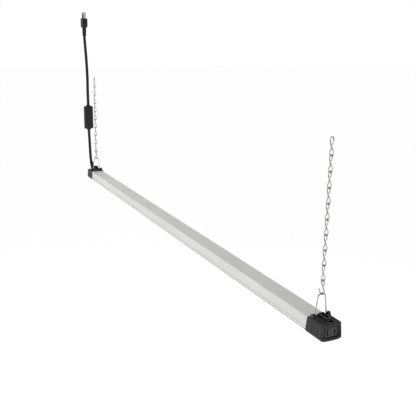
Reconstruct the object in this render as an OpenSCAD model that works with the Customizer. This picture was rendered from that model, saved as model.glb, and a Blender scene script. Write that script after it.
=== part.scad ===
// Hanging LED shop light: a slim housing with two moulded end caps, hung level from two jack
// chains. One cap holds a linking outlet, the other takes the mains cord with its inline switch.
// X runs along the light towards the outlet, Z is up, and the origin is midway between the two
// points where the chains' top loops bear on their ceiling hooks.

/* [Housing] */
// Length over the feet of both end caps
light_length = 1172; // [900:1:1500]
// Width of the housing's flat top
housing_top_width = 31.6; // [30:0.1:33]
// Width of the housing at its lower edge
housing_bottom_width = 34; // [33:0.1:38]
// Height of the housing's side walls
housing_height = 19.4; // [19:0.1:24]
// Thickness of the housing's sheet
housing_wall = 1.1; // [0.8:0.1:1.4]
// Radius of the fold along the housing's top edges
fold_radius = 1.4; // [0.6:0.1:2]
// How far the housing's lower lips turn inward
lip_width = 2.6; // [2.2:0.1:3]
// Depth of the gear tray below the housing's top
tray_depth = 12.2; // [11:0.1:13]
// Thickness of the gear tray
tray_sheet = 0.8; // [0.6:0.1:1]

/* [Lens] */
// Thickness of the milky lens
lens_wall = 1.2; // [0.8:0.1:1.6]
// Height of the lens edge that shows under the housing
lens_edge = 1.3; // [1:0.1:2]
// How far the lens bulges below its edge
lens_bulge = 2.8; // [1.6:0.1:5]
// Thickness of the lens's snap legs
snap_leg = 1; // [0.8:0.1:1.3]

/* [End caps] */
// How much of the light's length each cap covers
cap_length = 35.6; // [34:0.1:42]
// Thickness of the solid end behind the housing's end
cap_end = 12; // [11.5:0.1:14]
// Thickness of the cap beside the housing
cap_wall = 2.2; // [1.6:0.1:2.6]
// Thickness of the cap over the housing
cap_roof = 1.5; // [1.2:0.1:2.2]
// Chamfer along the cap's outer edges
cap_chamfer = 1.5; // [0.8:0.1:1.8]
// How far the foot of a cap's end face stands out past its top
end_draft = 2; // [1:0.1:2.6]
// Width of the raised spine beside a cap's cord entry
spine_width = 10.6; // [9.8:0.1:11]
// Height of the raised spine above the cap
spine_height = 3.2; // [2.4:0.1:3.4]
// Distance from a cap's end face to its cord entry
entry_inset = 6.5; // [6.4:0.1:7]
// Distance of the cord entry from the light's centre plane
entry_offset = 5; // [4.6:0.1:6]

/* [Hanger wires] */
// Distance from a cap's end face to its hanger wire
hanger_inset = 27; // [26:0.1:28]
// Thickness of the hanger wire
hanger_wire = 1.8; // [1.6:0.1:2]
// Height of the wire's crest above its pivot
hanger_rise = 33.8; // [30:0.1:45]
// Slope of the wire's two roof sides in degrees
roof_slope = 33; // [24:0.5:38]
// Distance between the legs at their feet
foot_spread = 20; // [19.6:0.1:20.6]
// Distance between the legs at their shoulders
shoulder_spread = 12.8; // [12:0.1:14]
// Height of the pivot above the housing's top
pivot_height = 4.6; // [4.5:0.1:5.4]

/* [Chain] */
// Thickness of the chain's wire
chain_wire = 1.8; // [1.6:0.1:2]
// Distance from one link to the next
link_pitch = 22.85; // [22:0.05:26]
// Outer width of a link's loops
link_width = 8.8; // [8.6:0.1:10]
// Outer width of the loop that hangs on the ceiling hook
top_loop_width = 10.4; // [9.8:0.1:12]
// Distance from that loop's top to its link's waist
top_loop_height = 14.25; // [13.5:0.05:20]
// Length of the straight crown that a loop bears on
link_crown = 1.2; // [0.8:0.1:1.6]
// Thickness of the S-hook's wire
hook_wire = 2; // [1.8:0.1:2.2]
// Height of an S-hook between its bearing wires
hook_height = 22.3; // [21:0.1:26]
// Outer width of the hook that holds the hanger wire
hook_width = 9.1; // [8.6:0.1:10]

/* [Outlet] */
// Distance between the outlet's two slots
slot_spacing = 12.7; // [12.5:0.1:12.9]
// Width of a slot
slot_width = 2.2; // [2:0.1:2.4]
// Height of the live slot
live_slot_height = 7.1; // [6.6:0.1:7.4]
// Height of the neutral slot
neutral_slot_height = 8.8; // [8.2:0.1:9]
// Width of the outlet insert's face
insert_width = 19.5; // [19:0.1:21]
// Height of the outlet insert's face
insert_height = 12.4; // [12:0.1:13]

/* [Cord, switch and plug] */
// Diameter of the mains cord
cord_d = 7.6; // [7:0.1:7.8]
// Height of the switch's case
switch_height = 62; // [58:1:70]
// Width of the switch's case
switch_width = 24; // [22:0.5:26]
// Depth of the switch's case
switch_depth = 16; // [15:0.5:19]
// Width of the switch's rocker
rocker_width = 9; // [8:0.1:10]
// Length of the switch's rocker
rocker_length = 15; // [13:0.1:17]
// Width of the plug across its blades
plug_width = 24; // [22:0.5:27]
// Thickness of the plug
plug_depth = 14; // [12:0.5:16]
// Length of the plug's blades
blade_length = 16; // [14:0.5:18]

/* [Hidden] */
$fn = 48;

RIGHT = 1;
LEFT = -1;
link_count = 9;
// Gap between two wires that hook into each other
wire_play = 0.2;
// Clearance between a cap or an insert and what it holds
fit_gap = 0.2;
// Clearance around a shaft that turns in a bore
running_gap = 0.06;
// Clearance around the feet of the right-hand hanger wire
loose_gap = 0.25;
// How far a cutting tool runs past the face that it cuts
cut = 1;
// Gap left between a wire's straight and its bend, inside the ball that joins them
joint_gap = 0.02;
joint_swell = 1.03;
waist_swell = 1.35;

// Where the tops of the end faces lie
end_x = light_length / 2 - end_draft;

// Heights down the chain, measured from the bearing points at the top
half_link = (link_pitch + chain_wire + wire_play) / 2;
first_waist = chain_wire / 2 - top_loop_height;
first_bottom = first_waist - half_link;
function link_top(i) = first_bottom + chain_wire + wire_play - (i - 2) * link_pitch;
chain_bottom = link_top(link_count) - 2 * half_link;
hook_top = chain_bottom + (chain_wire + hook_wire) / 2 + wire_play;
hook_bottom = hook_top - hook_height;
hanger_crest = hook_bottom + (hook_wire + hanger_wire) / 2 + wire_play;
hanger_pivot = hanger_crest - hanger_rise;
housing_top = hanger_pivot - pivot_height;
hanger_x = end_x - hanger_inset;

// Cross-section of the housing and lens, measured from the housing's top
top_half = housing_top_width / 2;
bottom_half = housing_bottom_width / 2;
lens_seam = 0.3;
lens_top = -housing_height - lens_seam;
lens_crown = lens_top - lens_edge - lens_bulge;
lens_radius = (bottom_half * bottom_half + lens_bulge * lens_bulge) / (2 * lens_bulge);
lens_centre = lens_crown + lens_radius;
lip_sheet = 1.2;
lip_inner = bottom_half - lip_width;

// End cap, measured from the middle of its end face's top edge, at the housing's top
cap_floor = 1.3;
cap_top_half = top_half + fit_gap + cap_wall;
cap_half = bottom_half + fit_gap + cap_wall;
cap_top = fit_gap + cap_roof;
cap_radius = lens_radius + fit_gap + cap_floor;
cap_crown = lens_centre - cap_radius;
cap_side_low = lens_centre - sqrt(cap_radius * cap_radius - cap_half * cap_half);
side_lean = atan2(cap_half - cap_top_half, cap_top - cap_side_low);
rear_draft = 2;
rear_chamfer = 1.2;
foot_round = 3;
corner_cut = 2.4;
groove_depth = 0.4;
groove_width = 0.8;
collar_length = 7.5;
spine_fall = 1.6;
spine_rim = 1.8;
recess_depth = 0.7;
lug_inner = (foot_spread + hanger_wire) / 2 + 0.5;
lug_width = 4.5;
lug_length = 9;
lug_round = 3.2;
// Nearest that the spine comes to the centre of the hanger wire's leg
leg_room = hanger_wire / 2 + 0.5;
entry_pocket_depth = 4;
entry_wall = 0.9;
entry_d = cord_d + 2 * entry_wall;
bushing_rim_d = entry_d + 1.2;
field_margin = 4;
field_depth = 0.2;
insert_drop = 11.3;
insert_proud = 0.8;
insert_flange = 1.5;
insert_rim = 1.2;
cavity_width = 26;
cavity_wall = 2.5;
housing_half_length = end_x - cap_end - fit_gap;

// What the housing holds
ledge_width = 1.6;
ledge_sheet = 1;
tray_half = top_half - housing_wall - 0.2;
tray_end = 14;
board_sheet = 1.6;
led_board_width = 20;
led_pitch = 15;
chip_length = 3.5;
chip_width = 2.8;
chip_height = 0.8;
driver_width = 17;
driver_length = 180;
driver_stand = 1.2;
block_length = 14;
block_width = 26;
block_height = 7.4;
block_from_end = 30;
core_d = 2.2;
core_spread = 2.4;
core_bend = 3;
tray_top = -tray_depth + tray_sheet;
core_height = tray_top + core_d / 2;
through_offset = (block_width - core_d) / 2 - 0.4;
contact_sheet = 0.6;
contact_height = 6;
contact_length = 7.4;

// Cord, a list of points chosen by hand
cord_sides = 10;
entry_x = entry_inset - end_x;
cord_lower_route = [
    [entry_x, -entry_offset, -271], [entry_x, -entry_offset, -260], [-577, -7, -252],
    [-576, -9.5, -241], [-574.5, -11.5, -227], [-571, -13.5, -203], [-567, -15.5, -176],
    [-563, -17.5, -154], [-562, -18, -144], [-562, -18, -136]
];
cord_upper_route = [
    [-562, -18, -84], [-562, -18, -68], [-561.5, -18.5, -38], [-561, -18.5, 2],
    [-561, -20, 47], [-561, -22, 82], [-561, -23.5, 107], [-561, -23.5, 122]
];
cord_core_end = cord_lower_route[0];
switch_place = [-562, -18, -110];
switch_wall = 1.6;
switch_corner = 4;
switch_chamfer = 2;
collar_d = 12.4;
collar_height = 3.4;
rocker_tilt = 9;
rocker_pin_d = 2.4;
rocker_gap = 0.4;
switch_screw_y = 7;
switch_screw_z = 20;
screw_shank_d = 2.4;
screw_head_d = 4.6;
screw_head_height = 1.6;
screw_boss_d = 6.6;
plug_place = cord_upper_route[len(cord_upper_route) - 1];
plug_neck_height = 14;
plug_neck_d = 11;
plug_body_height = 24;
plug_corner = 3;
blade_sheet = 1.5;
live_blade_width = 6.35;
neutral_blade_width = 7.9;
blade_root = 10;

// ---- Helpers ----

// A profile in Y and Z, drawn out along X
module along_x(x0, x1) {
    translate([x0, 0, 0]) rotate([90, 0, 90]) linear_extrude(height = x1 - x0) children();
}

// A profile in X and Z, drawn out along Y
module along_y(y0, y1) {
    translate([0, y1, 0]) rotate([90, 0, 0]) linear_extrude(height = y1 - y0) children();
}

module rounded_rect(w, h, r) {
    square([w - 2 * r, h], center = true);
    square([w, h - 2 * r], center = true);
    for (x = [-1, 1], y = [-1, 1])
        translate([x * (w / 2 - r), y * (h / 2 - r)]) circle(r = r);
}

// Round wire that starts up along Z. Each move is a straight length, then a bend's radius and
// its angle, towards +X or, where the angle is negative, towards -X. A ball fills each joint.
module bent_wire(moves, d, i = 0) {
    if (i < len(moves)) {
        straight = moves[i][0];
        radius = moves[i][1];
        bend = abs(moves[i][2]);
        side = moves[i][2] < 0 ? 180 : 0;
        translate([0, 0, joint_gap]) cylinder(h = straight - 2 * joint_gap, d = d);
        translate([0, 0, straight]) rotate([0, 0, side]) if (bend > 0) {
            sphere(d = d * joint_swell);
            translate([radius, 0, 0]) rotate([90, 0, 180])
                rotate_extrude(angle = bend) translate([radius, 0]) circle(d = d);
            translate([radius * (1 - cos(bend)), 0, radius * sin(bend)]) rotate([0, bend, 0]) {
                sphere(d = d * joint_swell);
                rotate([0, 0, -side]) bent_wire(moves, d, i + 1);
            }
        }
    }
}

// The frame of an end cap: its end face's top is at x = 0 and the housing's top at z = 0
module at_end(side) {
    translate([0, 0, housing_top]) rotate([0, 0, side == RIGHT ? 0 : 180])
        translate([end_x, 0, 0]) children();
}

// ---- Chain, hooks and hanger wires ----

// One teardrop loop in X and Z, from the waist at the origin up to its bearing wire's centre.
// Its crown is a short straight, so the next link turns on a true cylinder.
module link_loop(height, width) {
    r = (width - chain_wire - link_crown) / 2;
    reach = norm([link_crown / 2, height - r]);
    splay = atan2(link_crown / 2, height - r) + asin(r / reach);
    leg = sqrt(reach * reach - r * r);
    rotate([0, -splay, 0])
        bent_wire([[leg, r, 90 + splay], [link_crown, r, 90 + splay], [leg, 0, 0]], chain_wire);
}

// A figure-eight link whose upper loop faces along Y and whose lower loop faces along X
module figure_eight(waist_z, upper_height, upper_width) {
    translate([0, 0, waist_z]) {
        link_loop(upper_height, upper_width);
        rotate([180, 0, 90]) link_loop(half_link, link_width);
        sphere(d = chain_wire * waist_swell);
    }
}

module chain_link(side, i) {
    color("lightgray") translate([side * hanger_x, 0, 0]) {
        if (i == 1) figure_eight(first_waist, top_loop_height, top_loop_width);
        else figure_eight(link_top(i) - half_link, half_link, link_width);
    }
}

// An S of wire: an eye squeezed shut on the chain's last link, and an open, flared hook below
module s_hook(side) {
    hook_r = (hook_width - hook_wire) / 2;
    eye_r = (chain_wire + hook_wire) / 2 + 0.6;
    tip = 5.6;
    flare = 16;
    squeeze = 24;
    tail = 6.5;
    turn_out = 30;
    span = hook_height - hook_r - eye_r;
    lean = asin((hook_r + eye_r) / span);
    shank = sqrt(span * span - pow(hook_r + eye_r, 2));
    color("silver") translate([side * hanger_x, 0, hook_bottom + hook_r]) rotate([0, 0, turn_out])
        rotate([0, -flare, 0]) translate([-hook_r, 0, tip]) rotate([180, 0, 0])
            bent_wire([
                [tip, hook_r, 180 + lean - flare], [shank, eye_r, -180 - squeeze], [tail, 0, 0]
            ], hook_wire);
}

// A trapezoid of wire whose out-turned feet pivot in the cap's lugs
module hanger_wire_frame(side) {
    foot_half = foot_spread / 2;
    shoulder_half = shoulder_spread / 2;
    foot_end = lug_inner + lug_width - 0.4;
    foot_r = 1.3;
    shoulder_r = 2.4;
    crest_r = 2.6;
    shoulder_rise = hanger_rise + crest_r * (1 / cos(roof_slope) - 1) - shoulder_half * tan(roof_slope);
    leg_lean = atan2(foot_half - shoulder_half, shoulder_rise);
    leg = norm([foot_half - shoulder_half, shoulder_rise]);
    foot_trim = foot_r * tan((90 - leg_lean) / 2);
    shoulder_trim = shoulder_r * tan((90 - leg_lean - roof_slope) / 2);
    crest_trim = crest_r * tan(roof_slope);
    foot_move = [foot_end - foot_half - foot_trim, foot_r, leg_lean - 90];
    leg_move = [leg - foot_trim - shoulder_trim, shoulder_r, 90 - leg_lean - roof_slope];
    roof_move = [shoulder_half / cos(roof_slope) - shoulder_trim - crest_trim, crest_r, 2 * roof_slope];
    color("gainsboro") translate([side * hanger_x, 0, hanger_pivot]) rotate([0, 0, 90])
        translate([-foot_end, 0, 0]) rotate([0, 90, 0])
            bent_wire([
                foot_move, leg_move, roof_move,
                [roof_move[0], shoulder_r, leg_move[2]], [leg_move[0], foot_r, foot_move[2]],
                [foot_move[0], 0, 0]
            ], hanger_wire);
}

// ---- Housing and lens ----

module lens_outline(grow) {
    intersection() {
        translate([0, lens_centre]) circle(r = lens_radius + grow, $fn = 240);
        translate([-bottom_half - grow, lens_crown - grow])
            square([2 * (bottom_half + grow), lens_top - lens_crown + grow]);
    }
}

// The housing and lens together, grown by a clearance
module bar_outline(grow) {
    polygon([
        [-top_half - grow, grow], [top_half + grow, grow],
        [bottom_half + grow, -housing_height], [bottom_half + grow, lens_top],
        [-bottom_half - grow, lens_top], [-bottom_half - grow, -housing_height]
    ]);
    lens_outline(grow);
}

// Outer side of the housing at a depth below its fold
function side_x(depth) = top_half
    + (bottom_half - top_half) * (depth - fold_radius) / (housing_height - fold_radius);

// Half of the folded sheet, from the middle of the top round to the middle of its underside
housing_half = [
    [0, 0],
    for (a = [90:-15:0]) [top_half - fold_radius, -fold_radius] + fold_radius * [cos(a), sin(a)],
    [bottom_half, -housing_height], [lip_inner, -housing_height], [lip_inner, lip_sheet - housing_height],
    [bottom_half - housing_wall, lip_sheet - housing_height],
    [side_x(tray_depth + ledge_sheet) - housing_wall, -tray_depth - ledge_sheet],
    [tray_half - ledge_width, -tray_depth - ledge_sheet], [tray_half - ledge_width, -tray_depth],
    [side_x(tray_depth) - housing_wall, -tray_depth],
    [top_half - housing_wall, -housing_wall - 0.6], [top_half - housing_wall - 0.6, -housing_wall],
    [0, -housing_wall]
];

module housing() {
    inner = len(housing_half) - 2;
    color("lightsteelblue") translate([0, 0, housing_top])
        along_x(-housing_half_length, housing_half_length) polygon([
            for (i = [1:inner]) housing_half[i],
            for (i = [inner:-1:1]) [-housing_half[i][0], housing_half[i][1]]
        ]);
}

// A snap leg that stands inside the lip and hooks over it
module snap_leg_profile() {
    leg_outer = lip_inner - fit_gap;
    hook_low = -housing_height + lip_sheet + 0.15;
    leg_foot = lens_centre - sqrt(pow(lens_radius - lens_wall / 2, 2) - lip_inner * lip_inner);
    polygon([
        [leg_outer - snap_leg, leg_foot], [leg_outer, leg_foot],
        [leg_outer, hook_low], [leg_outer + 0.9, hook_low], [leg_outer, hook_low + 1.2],
        [leg_outer - snap_leg, hook_low + 1.2]
    ]);
}

module diffuser_lens() {
    half = housing_half_length;
    color("white") translate([0, 0, housing_top]) {
        along_x(-half, half) difference() {
            lens_outline(0);
            intersection() {
                translate([0, lens_centre]) circle(r = lens_radius - lens_wall, $fn = 240);
                translate([-lip_inner, lens_crown]) square([2 * lip_inner, lens_top - lens_crown + cut]);
            }
        }
        for (side = [0, 1]) mirror([0, side, 0]) along_x(-half, half) snap_leg_profile();
    }
}

// ---- End caps ----

// The cap's section, shrunk where grow is negative. Its sides lean as the housing's do.
module cap_section(grow) {
    low = cap_half + grow;
    edge = [
        [cap_top_half - cap_chamfer + grow, cap_top + grow], [cap_top_half + grow, cap_top - cap_chamfer + grow],
        [low, cap_side_low + corner_cut], [low - corner_cut / 3, cap_side_low + corner_cut / 3],
        [low - 1.3 * corner_cut, cap_side_low - 0.6 * corner_cut], [low - 1.3 * corner_cut, cap_crown - cut]
    ];
    last = len(edge) - 1;
    intersection() {
        translate([0, lens_centre]) circle(r = cap_radius + grow, $fn = 240);
        polygon([for (p = edge) p, for (i = [last:-1:0]) [-edge[i][0], edge[i][1]]]);
    }
}

// What a chamfer takes off an upright edge of the cap, which starts at x on the cap's top
module edge_cut(side, x, draft, turn, size) {
    block = 80;
    translate([x, side * cap_top_half, cap_top]) rotate([side * side_lean, -draft, 0])
        rotate([0, 0, side * turn]) translate([-size / sqrt(2), -block / 2, -block / 2]) cube(block);
}

// The cap's outer body, wider at its foot, with its end face's and its collar's edges chamfered
module cap_body() {
    foot = -cap_length - rear_draft;
    fall = cap_top - cap_crown;
    difference() {
        intersection() {
            along_x(foot - cut, end_draft + cut) cap_section(0);
            along_y(-cap_half - cut, cap_half + cut) polygon([
                [rear_chamfer - cap_length, cap_top], [-cap_chamfer, cap_top],
                [0, cap_top - cap_chamfer], [end_draft, cap_crown + cap_chamfer],
                [end_draft - cap_chamfer, cap_crown], [foot + foot_round, cap_crown],
                [foot, cap_side_low + foot_round], [-cap_length, cap_top - rear_chamfer]
            ]);
        }
        for (side = [-1, 1]) {
            edge_cut(side, 0, atan2(end_draft, fall), 45, cap_chamfer);
            edge_cut(side, -cap_length, -atan2(rear_draft, fall), 135, rear_chamfer);
        }
    }
}

// The hanger wire's two lugs, rounded over their bores
module hanger_lugs() {
    base = lug_length / 2;
    for (side = [0, 1]) mirror([0, side, 0])
        translate([-hanger_inset, 0, 0]) along_y(lug_inner, lug_inner + lug_width) {
            polygon([
                [-base, cap_top - recess_depth], [base, cap_top - recess_depth],
                [base, cap_top], [lug_round, pivot_height], [-lug_round, pivot_height],
                [-base, cap_top]
            ]);
            translate([0, pivot_height]) circle(r = lug_round);
        }
}

// A raised spine with a deep trough, in line with the cord entry and notched beside the wire's leg
module spine() {
    inner = 1.5 - cap_length;
    outer = -entry_inset - bushing_rim_d / 2 - fit_gap;
    crest = cap_top + spine_height;
    low_edge = entry_offset - spine_width / 2;
    notch_edge = foot_spread / 2 - leg_room;
    difference() {
        along_y(low_edge, low_edge + spine_width) polygon([
            [inner, cap_top - recess_depth], [outer, cap_top - recess_depth],
            [outer, crest - spine_fall], [outer - 1, crest - spine_fall + 1],
            [inner + 1, crest], [inner, crest - 1]
        ]);
        translate([inner + 2.5, low_edge + spine_rim, cap_top])
            cube([outer - inner - 4.3, notch_edge - 1.3 - low_edge - spine_rim, spine_height + cut]);
        translate([-hanger_inset - lug_length / 2, notch_edge, cap_top])
            cube([lug_length, spine_width, spine_height + cut]);
    }
}

// The moulding that both ends share, with its bores round the hanger's feet
module cap_moulding(foot_gap) {
    difference() {
        union() {
            difference() {
                cap_body();
                along_x(collar_length - cap_length, collar_length - cap_length + groove_width)
                    difference() {
                        square([4 * cap_half, 4 * cap_half], center = true);
                        cap_section(-groove_depth);
                    }
                translate([-hanger_inset - lug_length / 2, -lug_inner, cap_top - recess_depth])
                    cube([lug_length, 2 * lug_inner, recess_depth + cut]);
            }
            hanger_lugs();
            spine();
        }
        along_x(-cap_length - rear_draft - cut, -cap_end) bar_outline(fit_gap);
        for (side = [0, 1]) mirror([0, side, 0])
            translate([-hanger_inset, lug_inner - cut, pivot_height]) rotate([-90, 0, 0])
                cylinder(h = lug_width + 2 * cut, d = hanger_wire + 2 * foot_gap);
    }
}

module outlet_end_cap() {
    field_z = -insert_drop;
    color("dimgray") at_end(RIGHT) difference() {
        cap_moulding(loose_gap);
        translate([-entry_inset, entry_offset, cap_top - entry_pocket_depth])
            cylinder(h = entry_pocket_depth + cut, d = entry_d);
        along_x(-field_depth, end_draft + cut) cap_section(-field_margin);
        along_x(-cap_end - cut, cut) translate([0, field_z])
            rounded_rect(insert_width + fit_gap, insert_height + fit_gap, 1.5);
        along_x(-cap_end - cut, insert_flange + fit_gap - cap_end) translate([0, field_z])
            square([insert_width + 2 * insert_rim + fit_gap, insert_height + 2 * insert_rim + fit_gap],
                center = true);
    }
}

module cord_end_cap() {
    cavity_top = -3.5;
    cavity_low = -19;
    color("dimgray") at_end(LEFT) difference() {
        cap_moulding(running_gap);
        translate([-entry_inset, entry_offset, cavity_top - cut])
            cylinder(h = cap_top - cavity_top + 2 * cut, d = entry_d);
        along_x(-cap_end - cut, -cavity_wall) translate([-cavity_width / 2, cavity_low])
            square([cavity_width, cavity_top - cavity_low]);
        along_x(-field_depth, end_draft + cut) cap_section(-field_margin);
    }
}

// Points z along the line from one point to another
module aim(from, to) {
    d = to - from;
    translate(from) rotate([0, acos(d[2] / norm(d)), atan2(d[1], d[0])]) children();
}

// A collar that sits in the cord entry and grips the cord, and a ribbed relief that tapers up it
module cord_bushing() {
    rim = 1.1;
    length = 6;
    base_d = bushing_rim_d - 0.4;
    tip_d = cord_d + 1.4;
    loose_d = cord_d + 0.5;
    ribs = 6;
    rib_pitch = 2.9;
    bend = cord_lower_route[1];
    rim_z = housing_top + cap_top;
    reach = norm(cord_lower_route[3] - bend);
    color("black") difference() {
        union() {
            translate([entry_x, -entry_offset, rim_z - length]) cylinder(h = length, d = entry_d - 0.1);
            translate([entry_x, -entry_offset, rim_z]) cylinder(h = rim, d = bushing_rim_d);
            translate([entry_x, -entry_offset, rim_z]) cylinder(h = bend[2] - rim_z, d = base_d);
            translate(bend) sphere(d = base_d * joint_swell);
            aim(bend, cord_lower_route[3]) {
                cylinder(h = reach, d1 = base_d, d2 = tip_d);
                for (i = [1:ribs]) let (at = i * rib_pitch)
                    translate([0, 0, at])
                        cylinder(h = rib_pitch * 0.45, d = base_d + (tip_d - base_d) * at / reach + 0.9);
            }
        }
        translate([entry_x, -entry_offset, rim_z - length - cut]) cylinder(h = length + rim + cut, d = cord_d);
        translate([entry_x, -entry_offset, rim_z + rim]) cylinder(h = bend[2] - rim_z - rim, d = loose_d);
        translate(bend) sphere(d = loose_d * joint_swell);
        aim(bend, cord_lower_route[3]) cylinder(h = reach + cut, d = loose_d);
    }
}

// ---- Outlet ----

module outlet_insert() {
    front = insert_proud - field_depth;
    back = -cap_end;
    chamber_front = front - 3;
    color("slategray") at_end(RIGHT) translate([0, 0, -insert_drop]) difference() {
        union() {
            along_x(back, front) rounded_rect(insert_width, insert_height, 1.4);
            along_x(back, back + insert_flange)
                square([insert_width + 2 * insert_rim, insert_height + 2 * insert_rim], center = true);
        }
        for (slot = [[slot_spacing / 2, live_slot_height], [-slot_spacing / 2, neutral_slot_height]]) {
            along_x(chamber_front - cut, front + cut)
                translate([slot[0], 0]) square([slot_width, slot[1]], center = true);
            along_x(back - cut, chamber_front)
                translate([slot[0], 0]) square([slot_width + 2.4, neutral_slot_height], center = true);
        }
    }
}

// A folded brass clip with a leaf on each side of a blade, seated against its chamber's front
module slot_contact(y) {
    front = insert_proud - field_depth - 3;
    wide = slot_width + 2.4;
    color("goldenrod") at_end(RIGHT) translate([0, y, -insert_drop])
        translate([0, 0, -contact_height / 2]) linear_extrude(height = contact_height) polygon([
            [front, wide / 2], [front - contact_length, wide / 2], [front - contact_length, -wide / 2],
            [front, -wide / 2], [front - 1.5, -0.9], [front - contact_length + contact_sheet, contact_sheet - wide / 2],
            [front - contact_length + contact_sheet, wide / 2 - contact_sheet], [front - 1.5, 0.9]
        ]);
}

// ---- Inside the housing ----

module gear_tray() {
    color("white") translate([0, 0, housing_top])
        along_x(tray_end - housing_half_length, housing_half_length - tray_end)
            translate([-tray_half, -tray_depth]) square([2 * tray_half, tray_sheet]);
}

module led_board() {
    color("whitesmoke") translate([0, 0, housing_top])
        along_x(tray_end - housing_half_length, housing_half_length - tray_end)
            translate([-led_board_width / 2, -tray_depth - board_sheet])
                square([led_board_width, board_sheet]);
}

module led_chips() {
    span = 2 * (housing_half_length - tray_end) - led_pitch;
    count = floor(span / led_pitch) + 1;
    start = -(count - 1) * led_pitch / 2;
    color("gold") translate([0, 0, housing_top - tray_depth - board_sheet - chip_height])
        for (i = [0:count - 1])
            translate([start + i * led_pitch - chip_length / 2, -chip_width / 2, 0])
                cube([chip_length, chip_width, chip_height]);
}

block_x = block_from_end - housing_half_length;
driver_x = block_x + block_length + 2;

module terminal_block() {
    color("ivory") translate([block_x, -block_width / 2, housing_top + tray_top])
        cube([block_length, block_width, block_height]);
}

// The board stands on two rails that lie on the tray
module driver_board() {
    color("forestgreen") translate([driver_x, 0, housing_top + tray_top]) {
        translate([0, -driver_width / 2, driver_stand]) cube([driver_length, driver_width, board_sheet]);
        for (y = [-driver_width / 2, driver_width / 2 - 1.5])
            translate([0, y, 0]) cube([driver_length, 1.5, driver_stand]);
    }
}

driver_top = housing_top + tray_top + driver_stand + board_sheet;

module driver_transformer() {
    core = [16, 13, 6.4];
    color("gold") translate([driver_x + driver_length / 2, 0, driver_top]) {
        translate([-core[0] / 2, -core[1] / 2, 0]) cube([core[0], core[1], core[2] * 0.3]);
        translate([0, 0, core[2] * 0.3]) cylinder(h = core[2] * 0.4, d = core[1] * 0.8);
        translate([-core[0] / 2, -core[1] / 2, core[2] * 0.7]) cube([core[0], core[1], core[2] * 0.3]);
    }
}

// Two electrolytic capacitors lying on their sides
module driver_capacitors() {
    d = 6.5;
    color("navy") for (x = [30, 50])
        translate([driver_x + x, -5.5, driver_top + d / 2]) rotate([-90, 0, 0]) cylinder(h = 11, d = d);
}

// A cord core that drops from the cord's end and turns along the housing to the terminal block
module cord_core(y_offset) {
    start = cord_core_end + [0, y_offset, 0];
    drop = start[2] - (housing_top + core_height) - core_bend;
    run = block_x - start[0] - core_bend;
    translate(start) rotate([0, 180, 0])
        bent_wire([[drop, core_bend, -90], [run, 0, 0]], core_d);
}

module cord_live_wire() { color("black") cord_core(core_spread / 2); }
module cord_neutral_wire() { color("white") cord_core(-core_spread / 2); }

// A wire from the terminal block to the back of an outlet contact, with one sideways step
module through_wire(side) {
    contact_back = end_x + insert_proud - field_depth - 3 - contact_length;
    start = block_x + block_length;
    step = through_offset - slot_spacing / 2;
    bend_r = 5;
    swing = 30;
    middle = (step - 2 * bend_r * (1 - cos(swing))) / sin(swing);
    last = 4;
    run = contact_back - start - 2 * bend_r * sin(swing) - middle * cos(swing) - last;
    translate([start, side * through_offset, housing_top + core_height])
        rotate([-90 * side, 0, 0]) rotate([0, 90, 0])
            bent_wire([[run, bend_r, swing], [middle, bend_r, -swing], [last, 0, 0]], core_d);
}

module through_live_wire() { color("black") through_wire(1); }
module through_neutral_wire() { color("white") through_wire(-1); }

// ---- Cord ----

// Unit vector along the route at a point
function heading(path, i) =
    let (d = path[min(i + 1, len(path) - 1)] - path[max(i - 1, 0)]) d / norm(d);

// A tube of the cord's diameter swept along a route, its first and last rings square to Z
module cord_tube(path) {
    ends = len(path) - 1;
    points = [
        for (i = [0:ends]) let (
            t = i == 0 || i == ends ? [0, 0, 1] : heading(path, i),
            u = cross([0, 1, 0], t) / norm(cross([0, 1, 0], t)),
            v = cross(t, u)
        ) for (k = [0:cord_sides - 1]) let (a = 360 * k / cord_sides)
            path[i] + cord_d / 2 * (cos(a) * u + sin(a) * v)
    ];
    sides = [
        for (i = [0:ends - 1], k = [0:cord_sides - 1]) let (
            a = i * cord_sides + k,
            b = i * cord_sides + (k + 1) % cord_sides
        ) for (face = [[a, a + cord_sides, b], [b, a + cord_sides, b + cord_sides]]) face
    ];
    last = ends * cord_sides;
    caps = [
        for (k = [1:cord_sides - 2]) for (face = [[0, k, k + 1], [last, last + k + 1, last + k]]) face
    ];
    polyhedron(points = points, faces = concat(sides, caps), convexity = 4);
}

module cord_lower() { color("black") cord_tube(cord_lower_route); }
module cord_upper() { color("black") cord_tube(cord_upper_route); }

// ---- Inline switch, built around the middle of its case ----

module switch_outline(grow) {
    half = switch_height / 2 + grow;
    c = switch_chamfer;
    deep = switch_depth / 2 + grow;
    intersection() {
        translate([0, 0, -half]) linear_extrude(height = 2 * half)
            rounded_rect(2 * deep, switch_width + 2 * grow, switch_corner + grow);
        along_y(-switch_width, switch_width) polygon([
            [-deep + c, -half], [deep - c, -half], [deep, c - half], [deep, half - c],
            [deep - c, half], [-deep + c, half], [-deep, half - c], [-deep, c - half]
        ]);
    }
}

// A hollow half of the case, in front of or behind the split, with half of each cord collar
module switch_half(front) {
    deep = switch_depth / 2 + cut;
    difference() {
        intersection() {
            union() {
                switch_outline(0);
                cylinder(h = switch_height + 2 * collar_height, d = collar_d, center = true);
            }
            translate([front ? 0 : -deep, -switch_width, -switch_height])
                cube([deep, 2 * switch_width, 2 * switch_height]);
        }
        switch_outline(-switch_wall);
        cylinder(h = 2 * switch_height, d = cord_d + 0.2, center = true);
    }
}

module at_screws() {
    for (s = [-1, 1]) translate([0, s * switch_screw_y, s * switch_screw_z]) rotate([0, 90, 0]) children();
}

module switch_front() {
    color("dimgray") translate(switch_place) {
        difference() {
            union() {
                switch_half(true);
                at_screws() cylinder(h = switch_depth / 2 - switch_wall / 2, d = screw_boss_d);
            }
            at_screws() translate([0, 0, -cut]) cylinder(h = 5 + cut, d = screw_shank_d);
        }
    }
}

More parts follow.
